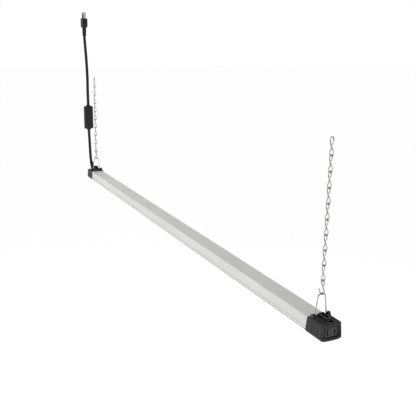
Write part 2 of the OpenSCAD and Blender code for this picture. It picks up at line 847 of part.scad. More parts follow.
module switch_back() {
    back = switch_depth / 2;
    cheek = 2.2;
    opening = rocker_width + 2 * rocker_gap;
    color("dimgray") translate(switch_place) difference() {
        union() {
            switch_half(false);
            at_screws() translate([0, 0, -back + switch_wall / 2])
                cylinder(h = back - switch_wall / 2, d = screw_boss_d);
            for (side = [0, 1]) mirror([0, side, 0])
                translate([-back + switch_wall / 2, opening / 2, -3.4]) cube([4.6, cheek, 6.8]);
        }
        translate([-back - cut, -opening / 2, -rocker_length / 2 - 0.8])
            cube([switch_wall + 2 * cut, opening, rocker_length + 1.6]);
        translate([-back + switch_wall + 1.4, 0, 0]) rotate([90, 0, 0])
            cylinder(h = 2 * switch_width, d = rocker_pin_d + 2 * running_gap, center = true);
        at_screws() translate([0, 0, -back - cut]) cylinder(h = back + 2 * cut, d = screw_shank_d + 0.4);
        at_screws() translate([0, 0, -back - cut]) cylinder(h = screw_head_height + cut + 0.2, d = screw_head_d + 0.4);
    }
}

rocker_place = switch_place + [-switch_depth / 2 + switch_wall + 1.4, 0, 0];

// A paddle with two raised ends on a pin, resting with its lower end pressed in
module switch_rocker() {
    face = switch_wall + 1.4;
    half = rocker_length / 2;
    color("black") translate(rocker_place) rotate([0, -rocker_tilt, 0]) {
        along_y(-rocker_width / 2, rocker_width / 2) polygon([
            [0.9, -2], [-0.6, -half + 0.6], [-face - 1, -half + 0.4], [-face - 0.2, 0],
            [-face - 1, half - 0.4], [-0.6, half - 0.6], [0.9, 2]
        ]);
        rotate([90, 0, 0]) cylinder(h = rocker_width + 3.6, d = rocker_pin_d, center = true);
    }
}

// Two spring strips on the front shell's inner wall, each bowed towards the rocker
module switch_contacts() {
    wall = switch_depth / 2 - switch_wall;
    color("goldenrod") translate(switch_place) for (y = [-4.5, 1.5]) along_y(y, y + 3) polygon([
        [wall, -11], [wall, -5], [wall - 2.6, 0], [wall, 5], [wall, 11],
        [wall - 0.6, 11], [wall - 0.6, 5.4], [wall - 3.3, 0], [wall - 0.6, -5.4], [wall - 0.6, -11]
    ]);
}

module switch_screws() {
    back = switch_depth / 2;
    color("silver") translate(switch_place) at_screws() translate([0, 0, -back]) difference() {
        union() {
            cylinder(h = screw_head_height, d = screw_head_d);
            translate([0, 0, screw_head_height]) cylinder(h = back + 4.4 - screw_head_height, d = screw_shank_d - 0.02);
        }
        translate([-screw_head_d, -0.4, -cut]) cube([2 * screw_head_d, 0.8, cut + 0.7]);
    }
}

// ---- Plug, built upward from the cord's end ----

module plug_body() {
    color("black") translate(plug_place) difference() {
        union() {
            translate([0, 0, -8]) cylinder(h = 8 + plug_neck_height, d1 = cord_d + 2.2, d2 = plug_neck_d, $fn = 48);
            translate([0, 0, plug_neck_height]) intersection() {
                linear_extrude(height = plug_body_height) rounded_rect(plug_width, plug_depth, plug_corner);
                along_y(-plug_depth, plug_depth) polygon([
                    [-plug_width / 2, 8], [-plug_neck_d / 2, 0], [plug_neck_d / 2, 0], [plug_width / 2, 8],
                    [plug_width / 2, plug_body_height], [-plug_width / 2, plug_body_height]
                ]);
            }
        }
        translate([0, 0, -8 - cut]) cylinder(h = 8 + cut, d = cord_d);
        for (blade = [[slot_spacing / 2, live_blade_width], [-slot_spacing / 2, neutral_blade_width]])
            translate([blade[0], 0, plug_neck_height + plug_body_height - blade_root / 2 + cut / 2])
                cube([blade_sheet, blade[1], blade_root + cut], center = true);
    }
}

module plug_blade(x, width) {
    hole_d = 3;
    base = plug_neck_height + plug_body_height - blade_root;
    top = base + blade_root + blade_length;
    color("goldenrod") translate(plug_place) translate([x - blade_sheet / 2, 0, 0])
        along_x(0, blade_sheet) difference() {
            polygon([
                [-width / 2, base], [width / 2, base], [width / 2, top - 1.6], [width / 2 - 1.6, top],
                [1.6 - width / 2, top], [-width / 2, top - 1.6]
            ]);
            translate([0, top - 4.2]) circle(d = hole_d);
        }
}

module plug_live_blade() { plug_blade(slot_spacing / 2, live_blade_width); }
module plug_neutral_blade() { plug_blade(-slot_spacing / 2, neutral_blade_width); }

// ---- The assembly ----

for (i = [1:link_count]) {
    chain_link(LEFT, i);
    chain_link(RIGHT, i);
}
s_hook(LEFT);  // left_s_hook
s_hook(RIGHT);  // right_s_hook
hanger_wire_frame(LEFT);  // left_hanger_wire
hanger_wire_frame(RIGHT);  // right_hanger_wire
housing();
diffuser_lens();
outlet_end_cap();
cord_end_cap();
outlet_insert();
slot_contact(slot_spacing / 2);  // live_contact
slot_contact(-slot_spacing / 2);  // neutral_contact
gear_tray();
led_board();
led_chips();
driver_board();
driver_transformer();
driver_capacitors();
terminal_block();
cord_live_wire();
cord_neutral_wire();
through_live_wire();
through_neutral_wire();
cord_bushing();
cord_lower();
cord_upper();
switch_front();
switch_back();
switch_rocker();
switch_contacts();
switch_screws();
plug_body();
plug_live_blade();
plug_neutral_blade();
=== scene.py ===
# %% [markdown]
# # A hanging shop light
# A slim LED light hangs level from two jack chains. Its metal housing, end caps, inner parts,
# switch case and plug come as finished solids, in metres. This lesson gives them their finishes,
# and makes what is better made in Blender: the cords, the chain links and the hood by the cord.

# %% Load the solids
import math

import bmesh
import bpy
from mathutils import Matrix, Vector


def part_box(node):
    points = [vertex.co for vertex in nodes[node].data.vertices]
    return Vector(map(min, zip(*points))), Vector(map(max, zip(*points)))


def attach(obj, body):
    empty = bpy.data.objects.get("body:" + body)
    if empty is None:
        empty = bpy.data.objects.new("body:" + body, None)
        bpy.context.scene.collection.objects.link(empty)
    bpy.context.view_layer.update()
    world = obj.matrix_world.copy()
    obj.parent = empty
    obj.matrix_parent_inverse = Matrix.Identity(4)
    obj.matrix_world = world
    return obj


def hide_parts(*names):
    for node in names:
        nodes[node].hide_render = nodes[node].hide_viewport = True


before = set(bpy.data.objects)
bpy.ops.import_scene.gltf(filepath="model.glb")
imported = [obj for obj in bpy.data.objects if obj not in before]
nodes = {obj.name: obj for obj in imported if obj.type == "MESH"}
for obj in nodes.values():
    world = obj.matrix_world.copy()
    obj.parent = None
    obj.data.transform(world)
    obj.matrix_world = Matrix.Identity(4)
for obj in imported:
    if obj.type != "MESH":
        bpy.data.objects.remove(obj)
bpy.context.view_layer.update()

# %% [markdown]
# ## The camera
# The photograph was taken from in front of the outlet end, a little above the light. A camera
# could be aimed at a point, but the photograph has a slight roll too. So its place, direction and
# lens, which were found from the light's straight edges, are plain numbers here. A camera looks
# along its own -Z, so its axes are the columns of one rotation matrix.

# %% Camera
IMAGE_SIDE = 416
FOCAL_PIXELS = 667.99
SENSOR_WIDTH = 36.0
FAR_CLIP = 50.0
CAMERA_PLACE = (1.292467, -0.549788, 0.1403)
azimuth = math.radians(63.721)
elevation = math.radians(15.054)
roll = math.radians(1.084)
forward = Vector((
    -math.sin(azimuth) * math.cos(elevation),
    math.cos(azimuth) * math.cos(elevation),
    -math.sin(elevation),
))
level_right = forward.cross(Vector((0, 0, 1))).normalized()
level_up = level_right.cross(forward)
right = level_right * math.cos(roll) + level_up * math.sin(roll)
up = level_up * math.cos(roll) - level_right * math.sin(roll)

camera = bpy.data.objects.new("camera", bpy.data.cameras.new("camera"))
bpy.context.scene.collection.objects.link(camera)
camera.data.sensor_width = SENSOR_WIDTH
camera.data.lens = FOCAL_PIXELS * SENSOR_WIDTH / IMAGE_SIDE
camera.data.clip_end = FAR_CLIP
camera.matrix_world = Matrix((right, up, -forward)).transposed().to_4x4()
camera.location = CAMERA_PLACE
bpy.context.scene.camera = camera
print("lens:", round(camera.data.lens, 2), "mm")

# %% [markdown]
# ## The cords
# The mains cord is a round rubber cord of a fixed length. It leaves the far end cap, passes
# through its switch and ends in its plug. A curve with a round bevel would do. Here it is a tube
# of rings instead, because its ends are then closed and its line is known, point by point. The
# route is a short list of points, and a spline through them gives the line that the tube follows.

# %% Route of the cord
CORD_DIAMETER = 0.0076
LOWER_ROUTE = [  # in millimetres, from inside the end cap up into the switch
    (-577.5, -5, -271), (-577.5, -5, -260), (-577, -7, -252), (-576, -9.5, -241),
    (-574.5, -11.5, -227), (-571, -13.5, -203), (-567, -15.5, -176), (-563, -17.5, -154),
    (-562, -18, -144), (-562, -18, -136),
]
UPPER_ROUTE = [  # from the switch up into the plug
    (-562, -18, -84), (-562, -18, -68), (-561.5, -18.5, -38), (-561, -18.5, 2),
    (-561, -20, 47), (-561, -22, 82), (-561, -23.5, 107), (-561, -23.5, 122),
]


def smooth_route(points_mm, steps=10):
    """A smooth spline that passes through each of a route's points, in metres."""
    points = [Vector(p) / 1000 for p in points_mm]
    ends = [2 * points[0] - points[1], *points, 2 * points[-1] - points[-2]]
    line = []
    for a, b, c, d in zip(ends, ends[1:], ends[2:], ends[3:]):
        for k in range(steps):
            t = k / steps
            squared = (2 * a - 5 * b + 4 * c - d) * t**2
            cubed = (3 * b - a - 3 * c + d) * t**3
            line.append(0.5 * (2 * b + (c - a) * t + squared + cubed))
    return [*line, points[-1]]


def length_of(line):
    return sum((b - a).length for a, b in zip(line, line[1:]))


lower_line = smooth_route(LOWER_ROUTE)
upper_line = smooth_route(UPPER_ROUTE)
print("cord lengths:", round(length_of(lower_line), 3), round(length_of(upper_line), 3), "m")


# %% A tube along a line
def skin(bm, rings):
    """Joins each ring of points to the next one with smooth faces."""
    for low, high in zip(rings, rings[1:]):
        for k in range(len(low)):
            n = (k + 1) % len(low)
            bm.faces.new((low[k], low[n], high[n], high[k])).smooth = True


def put_in_scene(name, bm):
    """Makes what was built an object in the scene."""
    mesh = bpy.data.meshes.new(name)
    bm.to_mesh(mesh)
    bm.free()
    piece = bpy.data.objects.new(name, mesh)
    bpy.context.scene.collection.objects.link(piece)
    return piece


def tube(name, line, radius, sides=20):
    """A tube along a line, with closed ends. Its rings are carried along without a twist."""
    bm = bmesh.new()
    turns = [2 * math.pi * k / sides for k in range(sides)]
    side = (line[1] - line[0]).orthogonal().normalized()
    rings = []
    for i, point in enumerate(line):
        before = line[max(i - 1, 0)]
        after = line[min(i + 1, len(line) - 1)]
        heading = (after - before).normalized()
        side = (side - heading * side.dot(heading)).normalized()
        other = heading.cross(side)
        ring = [point + radius * (math.cos(t) * side + math.sin(t) * other) for t in turns]
        rings.append([bm.verts.new(place) for place in ring])
    skin(bm, rings)
    bm.faces.new(rings[0][::-1])
    bm.faces.new(rings[-1])
    return put_in_scene(name, bm)


# %% The two cord runs
SWITCH = ("switch_front", "switch_back", "switch_rocker", "switch_contacts", "switch_screws")
PLUG = ("plug_body", "plug_live_blade", "plug_neutral_blade")
lower_cord = tube("lower_cord", lower_line, CORD_DIAMETER / 2)
upper_cord = tube("upper_cord", upper_line, CORD_DIAMETER / 2)
switch_pieces = [nodes[n] for n in SWITCH]
plug_pieces = [nodes[n] for n in PLUG]
for cord, line, solid, end, on_it in (
    (lower_cord, lower_line, "cord_lower", "fitting", switch_pieces),
    (upper_cord, upper_line, "cord_upper", "plug", plug_pieces),
):
    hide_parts(solid)
    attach(cord, "light")
    print(cord.name, "faces:", len(cord.data.polygons))

# %% [markdown]
# ## The studio
# The photograph has an even white ground, and its black caps are dark on top but grey on their
# sides. A white room all round would grey their tops too. So the room is white at the horizon and
# dark overhead: a satin or black surface mirrors the room, and its top mirrors the dark part. The
# camera itself sees plain white, through Light Path. Six soft lamps do the lighting: a large one
# along each side, one at each end, one above, and a weak one below that lights the lens.


# %% A helper to build node trees
class Nodes:
    """Adds nodes to a tree and links what it is given to their inputs."""

    def __init__(self, tree):
        self.tree = tree

    def set(self, socket, value):
        if isinstance(value, bpy.types.NodeSocket):
            self.tree.links.new(value, socket)
        else:
            socket.default_value = value

    def node(self, kind, inputs=None, **settings):
        node = self.tree.nodes.new(kind)
        for key, value in settings.items():
            setattr(node, key, value)
        for key, value in (inputs or {}).items():
            self.set(node.inputs[key], value)
        return node

    def first(self, kind, inputs=None, **settings):
        """Adds a node and gives its first output."""
        return self.node(kind, inputs, **settings).outputs[0]

    def math(self, operation, a, b=0.0):
        return self.first("ShaderNodeMath", {0: a, 1: b}, operation=operation)

    def ramp(self, value, start, end, low=0.0, high=1.0, **settings):
        """Low up to the start, high from the end on, and a slope between them."""
        limits = {"From Min": start, "From Max": end, "To Min": low, "To Max": high}
        return self.first("ShaderNodeMapRange", {"Value": value, **limits}, **settings)


# %% Rays that see the white ground
def ray_is(make, *kinds):
    """Gives 1 for rays of the given kinds, and 0 for others."""
    path = make.node("ShaderNodeLightPath").outputs
    seen = path[kinds[0]]
    for kind in kinds[1:]:
        seen = make.math("MAXIMUM", seen, path[kind])
    return seen


# %% World
AMBIENT = 0.30  # the share of the room's light that falls on a matt surface
OVERHEAD = 0.16
ROOM_WHITE_TO = 0.04  # sines of the angle above the horizon
ROOM_DARK_FROM = 0.36
world = bpy.data.worlds.new("studio")
bpy.context.scene.world = world
world.use_nodes = True
make = Nodes(world.node_tree)
direction = make.node("ShaderNodeTexCoord").outputs["Generated"]
rise = make.node("ShaderNodeSeparateXYZ", {0: direction}).outputs["Z"]
room = make.ramp(rise, ROOM_WHITE_TO, ROOM_DARK_FROM, 1.0, OVERHEAD,
                 interpolation_type="SMOOTHSTEP")
mirrored = ray_is(make, "Is Glossy Ray", "Is Transmission Ray")
lit = make.math("MULTIPLY", room, make.ramp(mirrored, 0.0, 1.0, AMBIENT, 1.0))
background = world.node_tree.nodes["Background"]
make.set(background.inputs["Color"], (1, 1, 1, 1))
make.set(background.inputs["Strength"], make.math("MAXIMUM", ray_is(make, "Is Camera Ray"), lit))
print("ambient light:", AMBIENT, "overhead:", OVERHEAD)

# %% Floor
FLOOR_HEIGHT = -1.7
FLOOR_REACH = 30.0
FLOOR_GREY = (0.55, 0.55, 0.55, 1)
FLOOR_ROUGHNESS = 0.9
FLOOR_GLOW = 1.06
GLOW_SHARE = 0.93  # the rest is paper, which keeps the light's faint shadow
bm = bmesh.new()
bmesh.ops.create_grid(bm, x_segments=1, y_segments=1, size=FLOOR_REACH)
bmesh.ops.translate(bm, vec=(0, 0, FLOOR_HEIGHT), verts=bm.verts)
floor = put_in_scene("floor", bm)
floor_finish = bpy.data.materials.new("floor")
floor_finish.use_nodes = True
make = Nodes(floor_finish.node_tree)
paper = floor_finish.node_tree.nodes["Principled BSDF"]
make.set(paper.inputs["Base Color"], FLOOR_GREY)
make.set(paper.inputs["Roughness"], FLOOR_ROUGHNESS)
glow = make.first("ShaderNodeEmission", {"Strength": FLOOR_GLOW})
seen = ray_is(make, "Is Camera Ray", "Is Glossy Ray", "Is Transmission Ray")
share = make.math("MULTIPLY", seen, GLOW_SHARE)
mixed = make.first("ShaderNodeMixShader", {0: share, 1: paper.outputs[0], 2: glow})
make.set(floor_finish.node_tree.nodes["Material Output"].inputs["Surface"], mixed)
floor.data.materials.append(floor_finish)
print("floor at", FLOOR_HEIGHT, "m")

# %% Lamps
LAMP_AIM = (0, 0, -0.2)
LAMPS = {  # place, side in metres, power in watts
    "camera_side": ((-0.4, -3.2, 0.5), 2.2, 74),
    "outlet_side": ((3.0, -0.6, 0.1), 1.6, 24),
    "far_side": ((-0.6, 3.2, 0.4), 2.2, 56),
    "cord_side": ((-3.0, 0.4, 0.3), 1.6, 30),
    "overhead": ((-0.7, 0.0, 2.6), 2.0, 62),
    "below": ((0.0, 0.0, -1.6), 2.0, 12),
}
for name, (place, side, power) in LAMPS.items():
    lamp = bpy.data.lights.new(name, "AREA")
    lamp.shape = "SQUARE"
    lamp.size = side
    lamp.energy = power
    holder = bpy.data.objects.new(name, lamp)
    holder.location = place
    holder.rotation_euler = (Vector(LAMP_AIM) - Vector(place)).to_track_quat("-Z", "Y").to_euler()
    holder.visible_camera = False
    holder.visible_glossy = False
    bpy.context.scene.collection.objects.link(holder)
bpy.context.scene.view_settings.view_transform = "Standard"
print("lamps:", len(LAMPS))

# %% [markdown]
# ## Node groups that the finishes share
# Real surfaces are never one flat colour. Sprayed metal, moulded plastic and drawn wire differ in
# the grain they show, but each grain is noise of some size and stretch. Each finish could have a
# tree of its own. Instead, five small groups are built once, with named inputs, and each finish
# sets its own values: the colour's mottle, the surface's grain, dust that has settled, painted
# highlights on edges with painted shade in grooves, and a painted shade line along the folded edge
# of the sheet. What is a pattern reads Object coordinates, which are metres here, because every
# object sits at the origin.

# %% A helper to build groups
NOISE_RANGE = (0.3, 0.7)  # nearly all values of a noise lie between these


class Mixes(Nodes):
    """Adds the nodes that the groups have in common."""

    def noise(self, vector, scale, detail, roughness=0.5):
        inputs = {"Vector": vector, "Scale": scale, "Detail": detail, "Roughness": roughness}
        return self.node("ShaderNodeTexNoise", inputs).outputs["Fac"]

    def vectors(self, operation, a, b, result):
        return self.node("ShaderNodeVectorMath", {0: a, 1: b}, operation=operation).outputs[result]

    def blend(self, share, a, b, kind="RGBA"):
        """From a to b as the share goes from 0 to 1. They are colours, or numbers for FLOAT."""
        inputs = {"Factor": share, "A": a, "B": b}
        return self.node("ShaderNodeMix", inputs, data_type=kind).outputs["Result"]


def new_group(name, inputs, outputs):
    """A shader group with its sockets. An input is a name with a kind and a default value."""
    group = bpy.data.node_groups.new(name, "ShaderNodeTree")
    for socket, (kind, value) in inputs.items():
        made = group.interface.new_socket(socket, in_out="INPUT", socket_type="NodeSocket" + kind)
        made.default_value = value
    for socket, kind in outputs.items():
        group.interface.new_socket(socket, in_out="OUTPUT", socket_type="NodeSocket" + kind)
    given = group.nodes.new("NodeGroupInput").outputs
    out = group.nodes.new("NodeGroupOutput").inputs
    return group, Mixes(group), given, out


# %% Group: mottle
# Two noises of different size shift a colour between a dark and a light tone.
mottle, make, given, out = new_group(
    "mottle",
    {"Vector": ("Vector", (0, 0, 0)),
     "Dark": ("Color", (0.4, 0.4, 0.4, 1)),
     "Light": ("Color", (0.5, 0.5, 0.5, 1)),
     "Patch": ("Float", 40.0),
     "Speck": ("Float", 900.0),
     "Speck Share": ("Float", 0.4)},
    {"Color": "Color"},
)
patch = make.noise(given["Vector"], given["Patch"], detail=3.0)
speck = make.noise(given["Vector"], given["Speck"], detail=2.0)
both = make.blend(given["Speck Share"], patch, speck, "FLOAT")
tone = make.ramp(both, *NOISE_RANGE)
make.set(out["Color"], make.blend(tone, given["Dark"], given["Light"]))
print("group:", mottle.name)

# %% Group: grain
# Fine bumps over a surface, stretched along one axis where a sheet or wire was drawn.
grain, make, given, out = new_group(
    "grain",
    {"Vector": ("Vector", (0, 0, 0)),
     "Stretch": ("Vector", (1, 1, 1)),
     "Scale": ("Float", 1500.0),
     "Height": ("Float", 0.00002),
     "Smooth": ("Float", 0.4),
     "Rough": ("Float", 0.5)},
    {"Normal": "Vector", "Roughness": "Float"},
)
stretched = make.vectors("MULTIPLY", given["Vector"], given["Stretch"], "Vector")
bumps = make.noise(stretched, given["Scale"], detail=4.0, roughness=0.6)
lifted = {"Strength": 1.0, "Distance": given["Height"], "Height": bumps}
make.set(out["Normal"], make.first("ShaderNodeBump", lifted))
make.set(out["Roughness"], make.ramp(bumps, *NOISE_RANGE, given["Smooth"], given["Rough"]))
print("group:", grain.name)

# %% Group: settled dust
# Dust lies on what faces up, in patches. It puts out a mask.
DUST_FROM_SLOPE = 0.5  # how far up a face has to look, as the Z of its normal
DUST_CLUMPS = (0.45, 0.75)  # the noise where dust begins, and where it is full
dust, make, given, out = new_group(
    "settled dust",
    {"Vector": ("Vector", (0, 0, 0)),
     "Normal": ("Vector", (0, 0, 1)),
     "Patch": ("Float", 60.0),
     "Amount": ("Float", 0.2)},
    {"Mask": "Float"},
)
facing = make.node("ShaderNodeSeparateXYZ", {0: given["Normal"]}).outputs["Z"]
upward = make.ramp(facing, DUST_FROM_SLOPE, 1.0)
clumps = make.noise(given["Vector"], given["Patch"], detail=6.0, roughness=0.7)
patchy = make.ramp(clumps, *DUST_CLUMPS)
make.set(out["Mask"], make.math("MULTIPLY", make.math("MULTIPLY", upward, patchy), given["Amount"]))
print("group:", dust.name)

# %% Group: edge highlights and groove shade
# Painted highlights and painted shade. Near an open edge, the colour goes towards a lighter tone: a
# painted highlight where a rounded edge would catch light. In a groove, it goes towards black:
# painted shade. The Bevel node turns the normal near an edge, and how far it turns is the mask.
# Ambient occlusion finds grooves.
EDGE_TURN = (0.005, 0.06)  # how far the normal turns where the painted highlight begins, and where it is full
GROOVE_OPENNESS = (0.45, 0.95)  # the deepest groove, and a plain face
RAY_SAMPLES = 8  # looks round each point, for both nodes
BLACK = (0, 0, 0, 1)
edges, make, given, out = new_group(
    "edge highlights and groove shade",
    {"Color": ("Color", (0.1, 0.1, 0.1, 1)),
     "Edge Highlight": ("Color", (0.2, 0.2, 0.2, 1)),
     "Width": ("Float", 0.0008),
     "Depth": ("Float", 0.004),
     "Amount": ("Float", 0.6),
     "Shade": ("Float", 0.6)},
    {"Color": "Color"},
)
rounded = make.first("ShaderNodeBevel", {"Radius": given["Width"]}, samples=RAY_SAMPLES)
flat = make.node("ShaderNodeNewGeometry").outputs["Normal"]
turned = make.math("SUBTRACT", 1.0, make.vectors("DOT_PRODUCT", rounded, flat, "Value"))
near_edge = make.ramp(turned, *EDGE_TURN)
around = make.node("ShaderNodeAmbientOcclusion", {"Distance": given["Depth"]},
                   samples=RAY_SAMPLES, only_local=True)
open_part = make.ramp(around.outputs["AO"], *GROOVE_OPENNESS)
# Painted highlight: near an open edge the colour goes towards the highlight tone.
highlight_share = make.math("MULTIPLY", make.math("MULTIPLY", near_edge, open_part), given["Amount"])
highlighted = make.blend(highlight_share, given["Color"], given["Edge Highlight"])
# Painted shade: in a groove the colour goes towards black.
shade = make.math("MULTIPLY", make.math("SUBTRACT", 1.0, open_part), given["Shade"])
make.set(out["Color"], make.blend(shade, highlighted, BLACK))
print("group:", edges.name)

# %% Group: painted shade line
# The housing's sheet is folded back along its lower edges. Where the fold ends, a fine dark line is
# painted as painted shade in the crease. The part below it takes a tone of its own, which on the
# housing is a painted highlight on the hem. The lens has such a painted shade line just below
# where it meets the housing.
HEM_SOFTNESS = 0.0002
LINE_FADE = (0.35, 0.6)  # from the line's middle, in line widths
PAINTED_LINE_BLACK = (0.02, 0.02, 0.02, 1)
hem, make, given, out = new_group(
    "painted shade line",
    {"Color": ("Color", (0.7, 0.7, 0.7, 1)),
     "Vector": ("Vector", (0, 0, 0)),
     "Line Height": ("Float", 0.0),
     "Line Width": ("Float", 0.001),
     "Line Shade": ("Float", 0.3),
     "Below Line": ("Color", (0.9, 0.9, 0.9, 1))},
    {"Color": "Color"},
)
height = make.node("ShaderNodeSeparateXYZ", {0: given["Vector"]}).outputs["Z"]
above = make.math("SUBTRACT", height, given["Line Height"])
on_hem = make.ramp(above, 0.0, -HEM_SOFTNESS)
sheet = make.blend(on_hem, given["Color"], given["Below Line"])
off_line = make.math("DIVIDE", make.math("ABSOLUTE", above), given["Line Width"])
on_line = make.ramp(off_line, *LINE_FADE, 1.0, 0.0)
# Painted shade: the line darkens the colour towards black.
shade = make.math("MULTIPLY", on_line, given["Line Shade"])
make.set(out["Color"], make.blend(shade, sheet, PAINTED_LINE_BLACK))
print("group:", hem.name)

# %% [markdown]
# ## Finishes
# The housing is satin metal, the caps and the switch are dull moulded plastic, the wires are
# bright zinc or steel, and the cord is rubber. A finish could be a picture wrapped round a piece,
# but noise has no seams and is changed by one number. So a finish is one Principled BSDF. Its
# colour comes from the mottle group, between a dark and a light tone, and its roughness and bumps
# come from the grain group. What is the same all over a surface, such as how metallic it is, is
# set on the shader itself. Colours are written as a screen shows them, from 0 to 255, and turned
# into linear light.


# %% Colours as a screen shows them
def linear(share):
    """One channel of a screen colour, from 0 to 1, in linear light. This is the sRGB curve."""
    return share / 12.92 if share <= 0.04045 else ((share + 0.055) / 1.055) ** 2.4


def screen(red, green, blue):
    return (linear(red / 255), linear(green / 255), linear(blue / 255), 1)


DUST = screen(170, 166, 158)
print("dust in linear light:", [round(channel, 3) for channel in DUST])


# %% A helper to make one finish
def finish(name, dark, light, *, patch=40.0, speck=900.0, speck_share=0.4, stretch=(1, 1, 1),
           scale=1500.0, height=0.00002, roughness=(0.4, 0.5), dusty=0.0, detail=None, **fixed):
    """A material with mottled colour and fine grain. A detail is one more group that the colour
    passes through, with its values. The fixed values go on the shader's own sockets."""
    material = bpy.data.materials.new(name)
    material.use_nodes = True
    make = Mixes(material.node_tree)
    shader = material.node_tree.nodes["Principled BSDF"]
    coordinates = make.node("ShaderNodeTexCoord").outputs
    vector = coordinates["Object"]
    tones = {"Vector": vector, "Dark": dark, "Light": light, "Patch": patch, "Speck": speck,
             "Speck Share": speck_share}
    colour = make.first("ShaderNodeGroup", tones, node_tree=mottle)
    bumps = {"Vector": vector, "Stretch": stretch, "Scale": scale, "Height": height,
             "Smooth": roughness[0], "Rough": roughness[1]}
    surface = make.node("ShaderNodeGroup", bumps, node_tree=grain).outputs
    if dusty:
        lying = {"Vector": vector, "Normal": coordinates["Normal"], "Amount": dusty}
        mask = make.first("ShaderNodeGroup", lying, node_tree=dust)
        colour = make.blend(mask, colour, DUST)
    if detail:
        group, values = detail
        passed = make.node("ShaderNodeGroup", {"Color": colour, **values}, node_tree=group)
        if "Vector" in passed.inputs:
            make.set(passed.inputs["Vector"], vector)
        colour = passed.outputs["Color"]
    make.set(shader.inputs["Base Color"], colour)
    make.set(shader.inputs["Roughness"], surface["Roughness"])
    make.set(shader.inputs["Normal"], surface["Normal"])
    for socket, value in fixed.items():
        shader.inputs[socket.replace("_", " ")].default_value = value
    return material


# %% Finishes of the metal pieces
HOUSING_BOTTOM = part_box("housing")[0][2]
HEM_HEIGHT = 0.0030
# Painted shade line where the hem's fold ends, and the hem below it painted lighter as a painted
# highlight.
HEM_SHADE_AND_HIGHLIGHT = (hem, {"Line Height": HOUSING_BOTTOM + HEM_HEIGHT, "Line Width": 0.0018, "Line Shade": 0.36,
             "Below Line": screen(244, 244, 243)})
finishes = {
    "housing_metal": finish(
        "satin_housing", screen(221, 221, 219), screen(229, 229, 227), patch=9, speck=260,
        speck_share=0.2, stretch=(0.02, 1, 1), scale=700, height=0.000001, roughness=(0.4, 0.46),
        dusty=0.04, detail=HEM_SHADE_AND_HIGHLIGHT, Metallic=0.35),
    "chain_wire": finish(
        "zinc_chain_wire", screen(176, 175, 173), screen(212, 211, 208), patch=160, speck=1200,
        scale=1800, roughness=(0.22, 0.4), Metallic=1.0),
    "bright_wire": finish(
        "bright_hanger_wire", screen(158, 159, 160), screen(196, 197, 198), patch=120, speck=1500,
        scale=2200, height=0.00001, roughness=(0.16, 0.3), Metallic=1.0),
    "screw_steel": finish(
        "screw_steel", screen(150, 150, 150), screen(186, 186, 184), patch=300, speck=2500,
        scale=3000, height=0.00001, roughness=(0.25, 0.4), Metallic=1.0),
    "brass": finish(
        "blade_brass", screen(196, 160, 92), screen(226, 194, 122), patch=220, speck=1800,
        stretch=(1, 1, 0.2), scale=2500, height=0.00001, roughness=(0.2, 0.35), Metallic=1.0),
    "nickel": finish(
        "nickel_plate", screen(150, 148, 142), screen(182, 180, 174), patch=200, speck=1800,
        stretch=(1, 1, 0.2), scale=2500, height=0.00001, roughness=(0.22, 0.36), Metallic=1.0),
    "tray_metal": finish(
        "tray_metal", screen(196, 198, 198), screen(216, 217, 217), patch=14, speck=400,
        stretch=(0.03, 1, 1), scale=900, height=0.00001, roughness=(0.4, 0.5), Metallic=0.6),
}
print("metal finishes:", len(finishes))

# %% Finishes of the lens, the black plastic and the rubber
DULL = {"Specular_IOR_Level": 0.4}
# Painted highlights on edges and painted shade in grooves: the stronger set for the caps and the
# hood, the fainter one for the outlet insert and the switch case.
EDGE_HIGHLIGHTS = (edges, {"Edge Highlight": screen(108, 108, 110), "Width": 0.0013, "Depth": 0.005,
                  "Amount": 0.9, "Shade": 0.9})
FAINT_EDGE_HIGHLIGHTS = (edges, {"Edge Highlight": screen(84, 84, 86), "Width": 0.0008, "Depth": 0.003,
                          "Amount": 0.7, "Shade": 0.9})
LENS_LINE_DEPTH = 0.0012
# Painted shade: a dark line on the lens, a little below the housing's bottom edge.
LENS_EDGE_SHADE = (hem, {"Line Height": HOUSING_BOTTOM - LENS_LINE_DEPTH, "Line Width": 0.0022,
                   "Line Shade": 0.7, "Below Line": screen(243, 243, 241)})
finishes |= {
    "milky_lens": finish(
        "milky_lens", screen(232, 232, 229), screen(243, 243, 241), patch=12, speck=500, scale=900,
        height=0.00001, roughness=(0.42, 0.5), detail=LENS_EDGE_SHADE, Subsurface_Weight=0.25,
        Subsurface_Scale=0.002, Subsurface_Radius=(1, 1, 1)),
    "cap_plastic": finish(
        "moulded_cap", screen(29, 29, 30), screen(37, 37, 38), patch=70, speck=1400, scale=1700,
        height=0.00005, roughness=(0.5, 0.62), dusty=0.05, detail=EDGE_HIGHLIGHTS, **DULL),
    "outlet_plastic": finish(
        "outlet_insert", screen(60, 60, 62), screen(70, 70, 72), patch=90, speck=1500, scale=2200,
        roughness=(0.4, 0.5), detail=FAINT_EDGE_HIGHLIGHTS, **DULL),
    "switch_plastic": finish(
        "switch_case", screen(22, 22, 23), screen(29, 29, 30), patch=80, speck=1500, scale=1900,
        height=0.00005, roughness=(0.48, 0.6), dusty=0.05, detail=FAINT_EDGE_HIGHLIGHTS, **DULL),
    "rocker_plastic": finish(
        "switch_rocker", screen(17, 17, 18), screen(23, 23, 24), patch=90, speck=1700, scale=2600,
        height=0.00001, roughness=(0.3, 0.42), **DULL),
    "cord_jacket": finish(
        "cord_jacket", screen(11, 11, 12), screen(17, 17, 18), patch=60, speck=1100,
        speck_share=0.15, scale=1500, height=0.00001, roughness=(0.5, 0.6), **DULL),
}
print("metal, lens, plastic and rubber finishes:", len(finishes))

